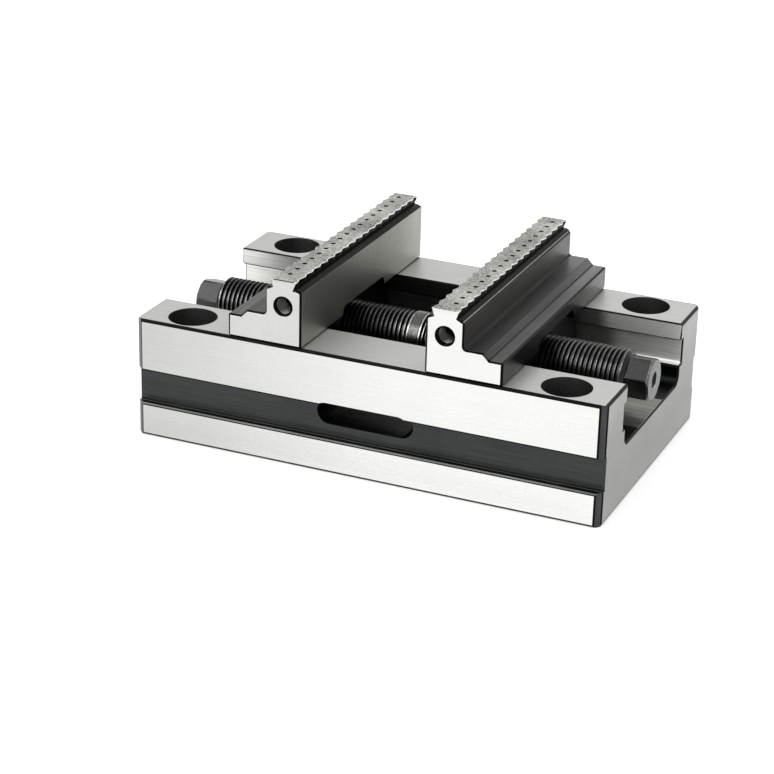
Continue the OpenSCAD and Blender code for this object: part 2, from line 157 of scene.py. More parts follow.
class Spot:
    """The place of a point on its piece, in millimetres, as sockets of one material.

    x and y count outwards from the middle of the vise, X and Y keep their sign, z is the
    height, r the distance from the screw's axis, h that from the nearest mounting hole's and
    s that from the nearest stop hole's. All of them move with the piece.
    """

    def __init__(self, tree: bpy.types.NodeTree, screw_z: float = 29.4,
                 hole: tuple[float, float] = (60.0, 36.25),
                 stop: tuple[float, float] = (25.6, 50.35)) -> None:
        """Adds the nodes.

        Args:
            tree: the node tree.
            screw_z: the height of the screw's axis.
            hole: the mounting holes' distances from the middle along X and Y.
            stop: the stop holes' distance from the middle along X, and their height.
        """
        self.tree = tree
        coords = add_node(tree, "TexCoord")
        self.place = add_node(tree, "VectorMath", {0: coords.outputs["Object"], "Scale": 1 / MM},
                              operation="SCALE").outputs[0]
        away = add_node(tree, "VectorMath", {0: self.place}, operation="ABSOLUTE").outputs[0]
        signed = add_node(tree, "SeparateXYZ", {0: self.place}).outputs
        outward = add_node(tree, "SeparateXYZ", {0: away}).outputs
        self.axes = {"X": signed[0], "Y": signed[1], "z": signed[2], "x": outward[0],
                     "y": outward[1], "r": self.distance(self.place, (0, 0, screw_z), (0, 1, 1)),
                     "h": self.distance(away, (*hole, 0), (1, 1, 0)),
                     "s": self.distance(away, (stop[0], 0, stop[1]), (1, 0, 1))}

    def distance(self, start: bpy.types.NodeSocket, centre: Sequence[float],
                 keep: Sequence[float]) -> bpy.types.NodeSocket:
        """Adds the distance from a line along one of the axes.

        Args:
            start: the place, or its distance outwards.
            centre: a point of the line.
            keep: 1 for each axis across the line, and 0 for the one along it.

        Returns:
            The distance in millimetres.
        """
        offset = add_node(self.tree, "VectorMath", {0: start, 1: centre}, operation="SUBTRACT")
        across = add_node(self.tree, "VectorMath", {0: offset.outputs[0], 1: keep},
                          operation="MULTIPLY")
        return add_node(self.tree, "VectorMath", {0: across.outputs[0]},
                        operation="LENGTH").outputs["Value"]

    def mask(self, patch: "Patch") -> bpy.types.NodeSocket:
        """Adds the mask of a patch.

        Args:
            patch: the patch, with at least one limit.

        Returns:
            1 on the patch and 0 off it.
        """
        parts = [add_node(self.tree, "Math", {0: self.axes[axis], 1: (low + high) / 2,
                                              2: (high - low) / 2}, operation="COMPARE").outputs[0]
                 for axis, low, high in patch.within]
        if patch.fade:
            axis, absent, full = patch.fade
            parts.append(add_node(self.tree, "MapRange", {0: self.axes[axis], 1: absent, 2: full},
                                  interpolation_type="SMOOTHSTEP").outputs[0])
        mask = parts[0]
        for part in parts[1:]:
            mask = add_node(self.tree, "Math", {0: mask, 1: part}, operation="MULTIPLY").outputs[0]
        return mask


@dataclass(frozen=True)
class Grain:
    """Lines left by a grinding wheel or cutter, as stretched noise over soft blotches.

    The spacing is in millimetres across the lines. Real grinding lines are about 0.05 mm
    apart, too fine for the render, so they are drawn as coarse as they need to show. With
    no axis the pattern is an even speckle. The contrast is the part of the noise's values
    that the pattern runs over.
    """

    along: str
    spacing: float = 0.6
    stretch: float = 45.0
    detail: float = 3.0
    blotch: float = 14.0
    blotch_share: float = 0.35
    contrast: tuple[float, float] = (0.36, 0.64)

    def socket(self, tree: bpy.types.NodeTree, where: bpy.types.NodeSocket) -> bpy.types.NodeSocket:
        """Adds the pattern.

        Args:
            tree: the node tree.
            where: the place on the piece, in millimetres.

        Returns:
            A value from 0 to 1.
        """
        scale = [1 / self.spacing] * 3
        if self.along:
            scale["XYZ".index(self.along)] /= self.stretch
        place = add_node(tree, "VectorMath", {0: where, 1: scale}, operation="MULTIPLY")
        lines = add_node(tree, "TexNoise", {"Vector": place.outputs[0], "Scale": 1.0,
                                            "Detail": self.detail, "Roughness": 0.6}).outputs[0]
        soft = add_node(tree, "TexNoise", {"Vector": where, "Scale": 1 / self.blotch,
                                           "Detail": self.detail}).outputs[0]
        both = add_node(tree, "Mix", {0: self.blotch_share, 2: lines, 3: soft}).outputs[0]
        low, high = self.contrast
        return add_node(tree, "MapRange", {0: both, 1: low, 2: high}).outputs[0]


@dataclass(frozen=True)
class Patch:
    """One face or zone of a piece, finished in its own way.

    Its colour runs from dull to bright across the grain. It lies within limits on the axes
    of Spot, in millimetres, and with fade it comes in softly from one place to another.
    """

    dull: str
    bright: str
    rough: float = 0.3
    along: str = "X"
    within: tuple[Span, ...] = ()
    fade: Span | None = None


class Steel:
    """A steel finish: one look all over, then patches that are finished in their own way.

    The roughness of the grain's valleys and crests is a share of the patch's. The film of
    oil is a clear coat. Depths and margins are in millimetres: a face's patch takes in what
    lies within flat of it, and skin and slack are small margins round other zones.
    """

    name = "steel"
    oil = 0.0
    oil_roughness = 0.18
    uneven = (1.12, 0.9)
    bump_strength = 0.1
    bump_depth = 0.02
    flat = 0.05
    skin = 0.01
    slack = 0.1

    def patches(self) -> list[Patch]:
        """Returns the finish all over, and then the patches that lie over it."""
        raise NotImplementedError

    def on(self, axis: str, place: float) -> Span:
        """Returns the limits of a face that lies at one place on an axis."""
        return axis, place - self.flat, place + self.flat

    def build(self) -> bpy.types.Material:
        """Builds the material.

        Returns:
            The finished material.
        """
        material, tree, shader = blank_material(self.name)
        spot = Spot(tree)
        patches = self.patches()
        grain = {axis: Grain(axis).socket(tree, spot.place)
                 for axis in dict.fromkeys(patch.along for patch in patches)}
        colour: Any = None
        rough: Any = patches[0].rough
        height: Any = grain[patches[0].along]
        for patch in patches:
            lines = grain[patch.along]
            tone = add_node(tree, "Mix", {0: lines, 6: linear(patch.dull),
                                          7: linear(patch.bright)}, data_type="RGBA").outputs[2]
            if colour is None:
                colour = tone
                continue
            mask = spot.mask(patch)
            colour = add_node(tree, "Mix", {0: mask, 6: colour, 7: tone},
                              data_type="RGBA").outputs[2]
            rough = add_node(tree, "Mix", {0: mask, 2: rough, 3: patch.rough}).outputs[0]
            height = add_node(tree, "Mix", {0: mask, 2: height, 3: lines}).outputs[0]
        valley, crest = self.uneven
        uneven = add_node(tree, "MapRange", {0: height, 3: valley, 4: crest}).outputs[0]
        rough = add_node(tree, "Math", {0: rough, 1: uneven}, operation="MULTIPLY").outputs[0]
        bump = add_node(tree, "Bump", {"Strength": self.bump_strength, "Height": height,
                                       "Distance": self.bump_depth * MM}).outputs[0]
        tree.links.new(colour, shader.inputs["Base Color"])
        tree.links.new(rough, shader.inputs["Roughness"])
        tree.links.new(bump, shader.inputs["Normal"])
        shader.inputs["Metallic"].default_value = 1.0
        shader.inputs["Coat Weight"].default_value = self.oil
        shader.inputs["Coat Roughness"].default_value = self.oil_roughness
        return material


@dataclass(frozen=True)
class GroundBodySteel(Steel):
    """Tool steel, blackened all over and then surface-ground on its flat outer faces.

    To the eye: satin, almost white flats with fine lines, black edges, a charcoal side
    groove, and a channel of milled grey. A line is the black margin that the grinding
    leaves along an edge, and the groove's are below and above it.
    """

    name = "blackened_and_ground_tool_steel"
    half_length: float = 75.0
    half_width: float = 45.0
    height: float = 38.0
    corner: float = 2.0
    corner_margin: float = 0.35
    edge_line: float = 0.85
    corner_line: float = 2.2
    top_lines: tuple[float, float] = (0.8, 0.5)
    groove: tuple[float, float] = (10.8, 21.6)
    groove_y: float = 42.0
    groove_lines: tuple[float, float] = (0.8, 0.35)
    groove_break: tuple[float, float] = (0.12, 0.48)
    # A painted highlight: a bright strip on the groove's lower face.
    glint: tuple[float, float] = (0.5, 1.1)
    wall_y: float = 26.0
    lip_break: float = 0.4
    guide_y: float = 28.25
    guide: tuple[float, float] = (24.3, 32.3)
    floor_z: float = 18.5
    floor_fillet: float = 3.0
    floor_y: float = 21.0
    # The painted shade at the wall's foot starts this far from the middle.
    dark_y: float = 11.5
    drain: tuple[float, float] = (14.5, 22.5)
    drain_x: float = 15.5
    drain_round: float = 3.0
    hole_r: float = 7.5
    hole_floor: float = 1.0

    def channel(self) -> list[Patch]:
        """Returns the milled channel, with painted shade in the middle and painted light where the
        ends are open.
        """
        low, high = self.guide
        floor = self.floor_z - self.slack
        base = (("y", 0, self.floor_y), ("z", floor, self.floor_z + self.floor_fillet + self.slack))
        lip = (self.on("y", self.wall_y), ("z", high - self.flat, self.height - self.lip_break))
        guide = (("y", self.wall_y + self.flat, self.guide_y + self.flat),
                 ("z", low - self.flat, high + self.flat))
        # The wall's foot near the ends is painted black: a painted shade.
        foot = (("y", self.dark_y, self.wall_y + self.slack), ("z", floor, low - self.flat))
        # Painted light and shade: lip, guide and floor are dark in the middle, lighter beside the
        # jaws, brighter at the open ends and the left end.
        left, floor_ends, foot_ends = ("X", -44, -58), ("x", 40, 54), ("x", 61, 71)
        beside_jaws, lip_ends, guide_ends = ("x", 38, 44), ("x", 47.5, 53), ("x", 50, 56)
        return [
            Patch("#5A5A58", "#8C8C89", 0.38, "X", base),
            Patch("#6E6E6B", "#A9A9A5", 0.4, "X", base, floor_ends),
            Patch("#2C2D2C", "#464745", 0.45, "X", lip),
            Patch("#727371", "#8A8B89", 0.5, "X", lip, beside_jaws),
            Patch("#D0D0CC", "#FFFFFC", 0.5, "X", lip, lip_ends),
            Patch("#C4C4C0", "#E6E6E2", 0.36, "X", lip, left),
            Patch("#4C4D4B", "#8A8A87", 0.45, "X", guide),
            Patch("#8A8B89", "#A2A3A0", 0.5, "X", guide, beside_jaws),
            Patch("#C4C4C1", "#FFFFFC", 0.5, "X", guide, guide_ends),
            Patch("#DEDEDA", "#FAFAF6", 0.44, "X", guide, left),
            Patch("#0D0E0E", "#1E1F1F", 0.38, "X", foot, foot_ends),
        ]

    def side_and_drain(self) -> list[Patch]:
        """Returns the drain slot, the mounting holes, the side groove and the corners."""
        x, y, low = self.half_length, self.half_width, self.groove[0]
        bottom, roof = self.drain
        margin, (shallow, deep) = self.corner_margin, self.groove_break
        drain = (("x", 0, self.drain_x + self.slack),
                 ("z", bottom - self.slack, roof + self.slack))
        drain_floor = (("x", 0, self.drain_x - self.drain_round), ("y", self.wall_y, y),
                       self.on("z", bottom))
        holes = (("h", 0, self.hole_r + self.flat),
                 ("z", self.hole_floor, self.height - self.skin))
        glint = (("y", self.groove_y + self.glint[0], self.groove_y + self.glint[1]),
                 self.on("z", low))
        groove_edge = (("y", y - deep, y - shallow), ("z", low - deep, low - shallow))
        corners = (("x", x - self.corner + margin, x - margin),
                   ("y", y - self.corner + margin, y - margin))
        return [
            Patch("#0D0E0E", "#1E1F1F", 0.38, "X", drain),
            Patch("#4C4D4C", "#6C6D6C", 0.34, "X", drain_floor),
            Patch("#4A4B4B", "#6A6B6B", 0.5, "", holes),
            Patch("#3B3C3D", "#464747", 0.36, "X", (self.on("y", self.groove_y),)),
            # Painted highlight along the groove's lower face.
            Patch("#A8A8A5", "#C4C4C1", 0.3, "X", glint),
            Patch("#4A4B4B", "#5A5B5B", 0.36, "X", groove_edge),
            Patch("#3E3F3F", "#4C4D4D", 0.34, "Z", corners),
        ]

    def patches(self) -> list[Patch]:
        """Returns the blackened finish, what is milled or cut into it and the ground flats."""
        x, y, z, line = self.half_length, self.half_width, self.height, self.edge_line
        low, high = self.groove[0] - self.groove_lines[0], self.groove[1] + self.groove_lines[1]
        along = ("x", 0, x - self.corner_line)
        above = (self.on("y", y), along, ("z", high, z - line))
        below = (self.on("y", y), along, ("z", line, low))
        ends = (self.on("x", x), ("y", 0, y - self.corner_line), ("z", line, z - line))
        top = (self.on("z", z), ("x", 0, x - self.top_lines[0]),
               ("y", self.wall_y + self.top_lines[1], y - line))
        underside = (self.on("z", 0),)
        # The front flats are painted lighter towards the right: a painted light.
        painted_light_rightwards = ("X", -90, 32)
        return [
            Patch("#090A0A", "#181919", 0.38),
            *self.channel(),
            *self.side_and_drain(),
            Patch("#B7B8B5", "#C0C1BE", 0.45, "X", top),
            Patch("#B2B3B0", "#C4C5C2", 0.3, "X", underside),
            Patch("#C0C1BD", "#C6C7C3", 0.28, "X", above),
            Patch("#E9E9E6", "#EEEEEC", 0.28, "X", above, painted_light_rightwards),
            Patch("#CACBC7", "#D0D1CD", 0.28, "X", below),
            Patch("#F0F0EE", "#F5F5F3", 0.28, "X", below, painted_light_rightwards),
            # The end faces are painted darker than the front, and lighter towards the bottom and
            # the top: painted shade and light.
            Patch("#92938F", "#9D9E9B", 0.32, "", ends),
            Patch("#9B9C99", "#A5A6A3", 0.32, "", ends, ("z", 11, 2)),
            Patch("#9C9D9A", "#A7A8A5", 0.32, "", ends, ("z", 24, 36)),
        ]


@dataclass(frozen=True)
class HardenedJawSteel(Steel):
    """Hardened tool steel, dark from its heat treatment and ground where it works.

    To the eye: pale ends, a satin grey gripping face, a darker back with a faint brown
    tinge below the head, black flutes and edges, and a speckled grey head whose rims are painted
    bright as a highlight. Faces are painted lighter towards the back as a painted reflection.
    A line is the black margin that the grinding leaves along an edge.
    """

    name = "hardened_jaw_steel"
    flat = 0.04
    face_x: float = 19.6
    rail_z: float = 38.05
    length: float = 24.0
    wall: float = 11.8
    shelf: tuple[float, float] = (9.2, 7.2)
    reach: float = 17.9
    slope_lines: tuple[float, float] = (0.3, 0.05)
    toe_line: float = 0.6
    ledge: float = 17.9
    ledge_drop: float = 0.65
    ledge_line: float = 0.05
    back_edge: tuple[float, float] = (0.5, 0.25)
    tinge: tuple[float, float] = (4.0, 1.0)
    head: tuple[float, float] = (1.6, 10.2)
    head_top: float = 20.4
    rim_width: float = 0.95
    rim_height: float = 0.29
    pits: tuple[float, float] = (5.5, 8.0)
    pit_depth: tuple[float, float] = (0.55, 0.3)
    end_y: float = 45.0
    end_line: float = 0.7
    bore_r: float = 2.5
    crest: float = 0.06
    bore_y: tuple[float, float] = (38.0, 43.9)

    def patches(self) -> list[Patch]:
        """Returns the dark finish and the ground or rubbed faces."""
        at, up, back = self.face_x, self.rail_z, self.face_x + self.wall
        step, toe = at + self.reach, at + self.length
        high, low = up + self.shelf[0], up + self.shelf[1]
        brow, top = up + self.ledge, up + self.head_top
        drop, heel = brow - self.ledge_drop, step + high - low
        face, wall, foot = (self.on("x", at),), (self.on("x", back),), (self.on("x", toe),)
        upper = (self.on("z", high), ("x", back + self.slack, step))
        slope = (("x", step + self.slack, heel - self.slack),
                 ("z", low + self.slope_lines[0], high - self.slope_lines[1]))
        lower = (self.on("z", low), ("x", heel, toe - self.toe_line))
        ledge_slopes = (("z", drop - self.slack, brow - self.flat),
                        ("x", at + self.ledge_line, back - self.ledge_line))
        back_edge = (("x", back - self.back_edge[0], back - self.flat),
                     ("z", drop - self.flat, drop + self.back_edge[1]))
        rim = ("z", top - self.rim_height, top - self.skin)
        inner, outer = at + self.head[0], at + self.head[1]
        inner_rim = (("x", inner - self.slack, inner + self.rim_width), rim)
        outer_rim = (("x", outer - self.rim_width, outer + self.slack), rim)
        pits = (("z", top - self.pit_depth[0], top - self.pit_depth[1]),
                ("x", at + self.pits[0], at + self.pits[1]))
        crown = (("z", top - self.skin, top + self.flat),)
        ends = (self.on("y", self.end_y), ("x", at + self.end_line, toe - self.end_line))
        crests = (("s", self.bore_r - self.crest, self.bore_r + self.slack), ("y", *self.bore_y))
        return [
            Patch("#070707", "#171716", 0.36, "Y"),
            Patch("#B2B3B0", "#C4C5C2", 0.3, "Y", (self.on("z", up),)),
            Patch("#888882", "#92928C", 0.46, "", face),
            # Each patch with a fade along Y is painted lighter towards the back: a painted
            # reflection.
            Patch("#A6A6A1", "#B0B0AB", 0.46, "", face, ("Y", 15, 45)),
            Patch("#403F3C", "#4A4945", 0.4, "", wall),
            Patch("#3C3834", "#47433D", 0.4, "", wall,
                  ("z", brow - self.tinge[0], brow - self.tinge[1])),
            Patch("#5E5E5D", "#6C6C6A", 0.38, "", wall, ("Y", 12, 46)),
            Patch("#363635", "#40403F", 0.36, "Y", upper),
            Patch("#626262", "#707070", 0.34, "Y", upper, ("Y", 20, 46)),
            Patch("#3C3C3B", "#464645", 0.38, "Y", slope),
            Patch("#5E5E5D", "#6A6A69", 0.36, "Y", slope, ("Y", 10, 46)),
            Patch("#525251", "#5E5E5D", 0.36, "Y", lower),
            Patch("#6A6A69", "#787877", 0.34, "Y", lower, ("Y", 10, 46)),
            Patch("#20201F", "#2C2C2B", 0.36, "Y", foot),
            Patch("#666665", "#757574", 0.34, "Y", foot, ("Y", 14, 46)),
            Patch("#2A2824", "#3A3733", 0.4, "", (self.on("z", brow),)),
            Patch("#0C0C0B", "#181715", 0.5, "", ledge_slopes),
            # Painted highlight along the outer wall's top edge.
            Patch("#6A6A68", "#A0A09D", 0.3, "", back_edge),
            # The head's rims are painted bright: a painted highlight.
            Patch("#DCDCD8", "#FAFAF8", 0.24, "", inner_rim),
            Patch("#DCDCD8", "#FAFAF8", 0.24, "", outer_rim),
            Patch("#343430", "#545450", 0.4, "", pits),
            Patch("#50504C", "#CCCCC6", 0.38, "", crown),
            Patch("#CACAC7", "#D3D3D0", 0.3, "", ends),
            # The right jaw's ends are painted lighter than the left's: a painted light.
            Patch("#E6E6E3", "#EEEEEC", 0.3, "", ends, ("X", -2, 2)),
            # The stop holes' thread crests are painted bright: a painted highlight.
            Patch("#5A5A58", "#A0A09D", 0.3, "", crests),
        ]


@dataclass(frozen=True)
class BlackOxideSteel(Steel):
    """Alloy steel with a black oxide finish, lightly oiled. To the eye: near black, soft sheen."""

    name = "black_oxide_steel"
    oil = 0.3

    def patches(self) -> list[Patch]:
        """Returns the one finish."""
        return [Patch("#161616", "#2A2A2A", 0.34, "")]


@dataclass(frozen=True)
class BracketSteel(BlackOxideSteel):
    """Black oxide steel, painted lighter round the crown of the bracket as a highlight. To the eye:
    a grey ring.
    """

    name = "black_oxide_bracket_steel"
    crown: tuple[float, float] = (7.9, 8.3)
    crown_z: tuple[float, float] = (29.4, 38.4)

    def patches(self) -> list[Patch]:
        """Returns the black finish and the crown's painted highlight."""
        # The crown is painted lighter: a painted highlight.
        crown = (("r", *self.crown), ("z", *self.crown_z))
        return [*super().patches(), Patch("#3A3A39", "#626260", 0.26, "", crown)]


@dataclass(frozen=True)
class BlackOxideScrewSteel(Steel):
    """Black oxide steel with a cut thread, its crests rubbed bright by the slide nuts and painted
    brighter near the middle as a highlight.

    To the eye: near black roots and flats under fine, shining crest lines.
    """

    name = "black_oxide_screw_steel"
    oil = 0.4
    skin = 0.02
    crest_r: float = 8.0
    crest: float = 0.03
    worn_crest: float = 0.06
    root_r: float = 7.08
    root: float = 0.06
    root_x: float = 2.0
    end_x: float = 75.0
    hex_length: float = 7.5
    cone: float = 0.85
    cone_r: tuple[float, float] = (5.0, 7.2)
    mouth_r: float = 2.7
    mouth_rim: float = 0.12
    mouth_edge: float = 0.3
    centre_depth: float = 6.0

    def patches(self) -> list[Patch]:
        """Returns the black finish, rubbed crests, painted highlights and the edges of the ends."""
        end, under, out = self.end_x, self.end_x - self.skin, self.end_x + self.slack
        beyond = self.crest_r + self.slack
        crests = (("r", self.crest_r - self.crest, beyond),)
        highlighted_crests = (("r", self.crest_r - self.worn_crest, beyond),)
        roots = (("r", self.root_r - self.skin, self.root_r + self.root),
                 ("x", self.root_x, end - self.hex_length - self.slack))
        flats = (("x", end - self.hex_length, end - self.cone),)
        cone = (("x", end - self.cone, under), ("r", *self.cone_r))
        end_face = (("x", under, out), ("r", self.mouth_r, self.cone_r[1]))
        centre = (("x", end - self.centre_depth, under), ("r", 0, self.mouth_r - self.skin))
        mouth = (("x", end - self.mouth_edge, out),
                 ("r", self.mouth_r - self.mouth_rim, self.mouth_r + self.mouth_rim))
        return [
            Patch("#0E0E0E", "#202020", 0.34, ""),
            Patch("#3A3A3A", "#8C8C8C", 0.32, "", crests),
            Patch("#1E1E1E", "#464646", 0.34, "", roots),
            # Painted highlight: the crests near the middle are painted brighter.
            Patch("#6A6A68", "#C8C8C6", 0.24, "", highlighted_crests, ("x", 9, 3)),
            Patch("#2C2C2C", "#363636", 0.34, "", flats),
            Patch("#262626", "#3A3A3A", 0.34, "", cone),
            # The right end's cone is painted lighter than the left's: a painted highlight.
            Patch("#4A4A4A", "#747474", 0.3, "", cone, ("X", 0, 10)),
            Patch("#505050", "#747474", 0.36, "", end_face),
            Patch("#0C0C0C", "#181818", 0.45, "", centre),
            Patch("#777777", "#B0B0B0", 0.26, "", mouth),
        ]


@dataclass(frozen=True)
class GroundPinSteel(Steel):
    """Hardened dowel pin, centreless ground. To the eye: bright, with a faint sheen."""

    name = "centreless_ground_pin_steel"

    def patches(self) -> list[Patch]:
        """Returns the one finish."""
        return [Patch("#BABAB7", "#D2D2CF", 0.2, "Z")]


def dress(node: str, material: bpy.types.Material) -> bpy.types.Object:
    """Gives a CAD node a finish in all of its material slots.

    Args:
        node: the node's name.
        material: the finish.

    Returns:
        The node's object.
    """
    piece = frame["nodes"][node]
    if not piece.material_slots:
        piece.data.materials.append(material)
    for holder in piece.material_slots:
        holder.material = material
    LOG.info("%s: dressed in %s", node, material.name)
    return piece


def cad_shape(node: str, flat_angle: float = 0.5) -> bmesh.types.BMesh:
    """Copies a CAD node's mesh and joins the triangles of each flat face.

    Args:
        node: the node's name.
        flat_angle: faces that meet at less than this, in degrees, are one face.

    Returns:
        The geometry in metres.
    """
    shape = bmesh.new()
    shape.from_mesh(frame["nodes"][node].data)
    bmesh.ops.remove_doubles(shape, verts=shape.verts, dist=CAD_WELD)
    bmesh.ops.dissolve_limit(shape, angle_limit=math.radians(flat_angle), verts=shape.verts,
                             edges=shape.edges)
    return shape


def is_sharp(edge: bmesh.types.BMEdge, angle: float = 60) -> bool:
    """Tells whether two faces meet at an edge and turn by more than an angle in degrees."""
    return edge.is_manifold and edge.calc_face_angle(0.0) > math.radians(angle)


def bevel(shape: bmesh.types.BMesh, edges: list[bmesh.types.BMEdge], width: float,
          segments: int = 1, limited: bool = False) -> None:
    """Bevels edges.

    Args:
        shape: the geometry that the edges belong to.
        edges: the edges.
        width: how far the bevel reaches from the edge, in millimetres.
        segments: 1 for a chamfer, and more for a rounded edge.
        limited: whether a narrow neighbour narrows the bevel.
    """
    bmesh.ops.bevel(shape, geom=edges, offset=width * MM, offset_type="OFFSET",
                    segments=segments, profile=0.5, affect="EDGES", clamp_overlap=limited)


def mesh_piece(name: str, shape: bmesh.types.BMesh, material: bpy.types.Material,
               smooth_angle: float) -> bpy.types.Object:
    """Turns a bmesh into a shaded object of the scene.

    Args:
        name: the piece's name.
        shape: the geometry in metres, freed here.
        material: the finish.
        smooth_angle: edges sharper than this, in degrees, stay hard.

    Returns:
        The new object.
    """
    bmesh.ops.recalc_face_normals(shape, faces=shape.faces)
    limit = math.radians(smooth_angle)
    for face in shape.faces:
        face.smooth = True
    for edge in shape.edges:
        edge.smooth = edge.is_manifold and edge.calc_face_angle(0.0) < limit
    mesh = bpy.data.meshes.new(name)
    shape.to_mesh(mesh)
    shape.free()
    stale = mesh.attributes.get("custom_normal")
    if stale:
        mesh.attributes.remove(stale)
    mesh.materials.clear()
    mesh.materials.append(material)
    piece = bpy.data.objects.new(name, mesh)
    bpy.context.scene.collection.objects.link(piece)
    return piece


def join_columns(shape: bmesh.types.BMesh, grid: Sequence[Sequence[bmesh.types.BMVert]],
                 thread: range, shift: int) -> None:
    """Joins columns of vertices round an axis into faces, the last one to the first.

    Args:
        shape: the geometry that the vertices belong to.
        grid: the columns, each from one end to the other.
        thread: the rows of the thread, which climbs by one turn's rows on the way round.
        shift: the number of rows in one turn.
    """
    for index, here in enumerate(grid):
        last = index == len(grid) - 1
        there = grid[0] if last else grid[index + 1]
        for row in range(len(here) - 1):
            other = [row, row + 1]
            if last and row + 1 in thread:
                climb = [row, row + 1] if row in thread else [row + 1]
                other = other[:2 - len(climb)] + [min(k + shift, thread.stop - 1) for k in climb]
            corners = [here[row], here[row + 1], there[other[1]], there[other[0]]]
            kept = list(dict.fromkeys(corners))
            if len(kept) > 2:
                shape.faces.new(kept)


@dataclass
class Body:
    """The fixed block with its channel, whose edges at both ends are broken and black."""

    half_length: float = 75.0
    guide_y: float = 28.25
    floor_z: float = 18.5
    rim_z: float = 37.0
    near: float = 0.02
    slack: float = 0.1
    edge_break: float = 0.6

    def break_ends(self, shape: bmesh.types.BMesh) -> None:
        """Chamfers the channel's outline in both end faces, but not the rails' top edges.

        Args:
            shape: the body.
        """
        edges = [e for e in shape.edges
                 if is_sharp(e)
                 and all(abs(abs(v.co.x) / MM - self.half_length) < self.near
                         and abs(v.co.y) / MM < self.guide_y + self.slack
                         and v.co.z / MM > self.floor_z - self.slack for v in e.verts)
                 and min(v.co.z for v in e.verts) / MM < self.rim_z]
        bevel(shape, edges, self.edge_break)
        LOG.info("body: %d channel edges broken", len(edges))

    def build(self, material: bpy.types.Material) -> bpy.types.Object:
        """Builds the body.

        Args:
            material: the finish.

        Returns:
            The piece, standing for the vise_body node.
        """
        shape = cad_shape("vise_body")
        self.break_ends(shape)
        piece = mesh_piece("channelled_vise_body", shape, material, 30)
        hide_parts("vise_body")
        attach(piece, "base")
        return piece


@dataclass
class LeadScrew:
    """The screw: a left-hand and a right-hand thread, a journal and two hexagon ends.

    The thread's crest and flank are shares of its pitch. It reaches its full depth within
    fade, and ends in a cone as deep as the runout is long.
    """

    axis_z: float = 29.4
    thread_r: float = 8.0
    pitch: float = 1.5
    depth: float = 0.92
    crest: float = 0.125
    flank: float = 0.3125
    fade: float = 0.7
    journal_r: float = 5.5
    journal_half: float = 1.55
    shoulder: float = 0.6
    shoulder_chamfer: float = 0.15
    thread_end: float = 67.5
    runout: float = 1.0
    end: float = 75.0
    hex_flats: float = 12.0
    hex_turn: int = 45
    cone: float = 0.8
    cone_rings: int = 8
    mouth_r: float = 2.7
    mouth_angle: float = 60.0
    pilot_r: float = 1.0
    pilot_depth: float = 7.0
    pilot_tip: float = 7.5
    columns: int = 96

    @property
    def profile(self) -> tuple[float, ...]:
        """Returns the thread's corners and flank middles in one turn, as shares of the pitch."""
        return (0.0, self.crest, self.crest + self.flank / 2, self.crest + self.flank,
                1 - self.flank, 1 - self.flank / 2)

    @property
    def threaded(self) -> tuple[float, float]:
        """Returns the places where the thread starts and stops."""
        return self.journal_half + self.shoulder, self.thread_end - self.runout

    def hex_radius(self, angle: float) -> float:
        """Distance from the axis to the hexagon's outline.

        Args:
            angle: the direction, in degrees.

        Returns:
            The radius in millimetres.
        """
        within = (angle - self.hex_turn) % 60 - 30
        return self.hex_flats / 2 / math.cos(math.radians(within))

    def thread_radius(self, x: float, turn: float) -> float:
        """Distance from the axis to the thread's surface.

        Args:
            x: the place along the screw.
            turn: the direction, in turns.

        Returns:
            The radius in millimetres.
        """
        start, stop = self.threaded
        phase = ((x - start) / self.pitch - turn) % 1.0
        down = clamp((phase - self.crest) / self.flank)
        up = clamp((phase - (1 - self.flank)) / self.flank)
        full = clamp(min(x - start, stop - x) / self.fade)
        return self.thread_r - self.depth * (down - up) * full

    def column(self, index: int) -> tuple[list[tuple[float, float]], range]:
        """Outline of half the screw in one direction, from the middle to the end.

        Args:
            index: the direction's number.

        Returns:
            The (x, radius) points, and which of them belong to the thread.
        """
        turn = index / self.columns
        start, stop = self.threaded
        points = [(0.0, self.journal_r), (self.journal_half, self.journal_r),
                  (self.journal_half, self.thread_r - self.shoulder_chamfer),
                  (self.journal_half + self.shoulder_chamfer, self.thread_r),
                  (start, self.thread_r)]
        first = len(points)
        for count in range(-1, math.ceil((stop - start) / self.pitch) + 1):
            for offset in self.profile:
                x = min(stop, max(start, start + (count + offset + turn) * self.pitch))
                points.append((x, self.thread_radius(x, turn)))
        last = len(points)
        corner = self.hex_radius(-360 * turn)
        points += [(stop, self.thread_r), (self.thread_end, self.thread_r - self.runout),
                   (self.thread_end, corner)]
        reach = self.hex_flats / 2 / math.cos(math.radians(30))
        for ring in range(self.cone_rings + 1):
            along = self.cone * ring / self.cone_rings
            points.append((self.end - self.cone + along, min(corner, reach - along)))
        slant = math.tan(math.radians(self.mouth_angle))
        points += [(self.end, self.mouth_r),
                   (self.end - (self.mouth_r - self.pilot_r) * slant, self.pilot_r),
                   (self.end - self.pilot_depth, self.pilot_r), (self.end - self.pilot_tip, 0.0)]
        return points, range(first, last)

    def build(self, material: bpy.types.Material) -> bpy.types.Object:
        """Builds the screw.

        Args:
            material: the finish.

        Returns:
            The piece, standing for the lead_screw node.
        """
        shape = bmesh.new()
        for side in Side:
            grid, thread = [], range(0)
            for index in range(self.columns):
                outline, thread = self.column(index)
                angle = -2 * math.pi * index / self.columns
                grid.append([shape.verts.new((side.value * x * MM, r * math.cos(angle) * MM,
                                              (self.axis_z + r * math.sin(angle)) * MM))
                             for x, r in outline])
            join_columns(shape, grid, thread, len(self.profile))
        bmesh.ops.remove_doubles(shape, verts=shape.verts, dist=WELD)
        bmesh.ops.dissolve_degenerate(shape, edges=shape.edges, dist=SLIVER)
        loose = [v for v in shape.verts if not v.link_faces]
        bmesh.ops.delete(shape, geom=loose, context="VERTS")
        piece = mesh_piece("threaded_lead_screw", shape, material, 35)
        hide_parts("lead_screw")
        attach(piece, "spindle")
        LOG.info("lead screw: %d faces", len(piece.data.polygons))
        return piece


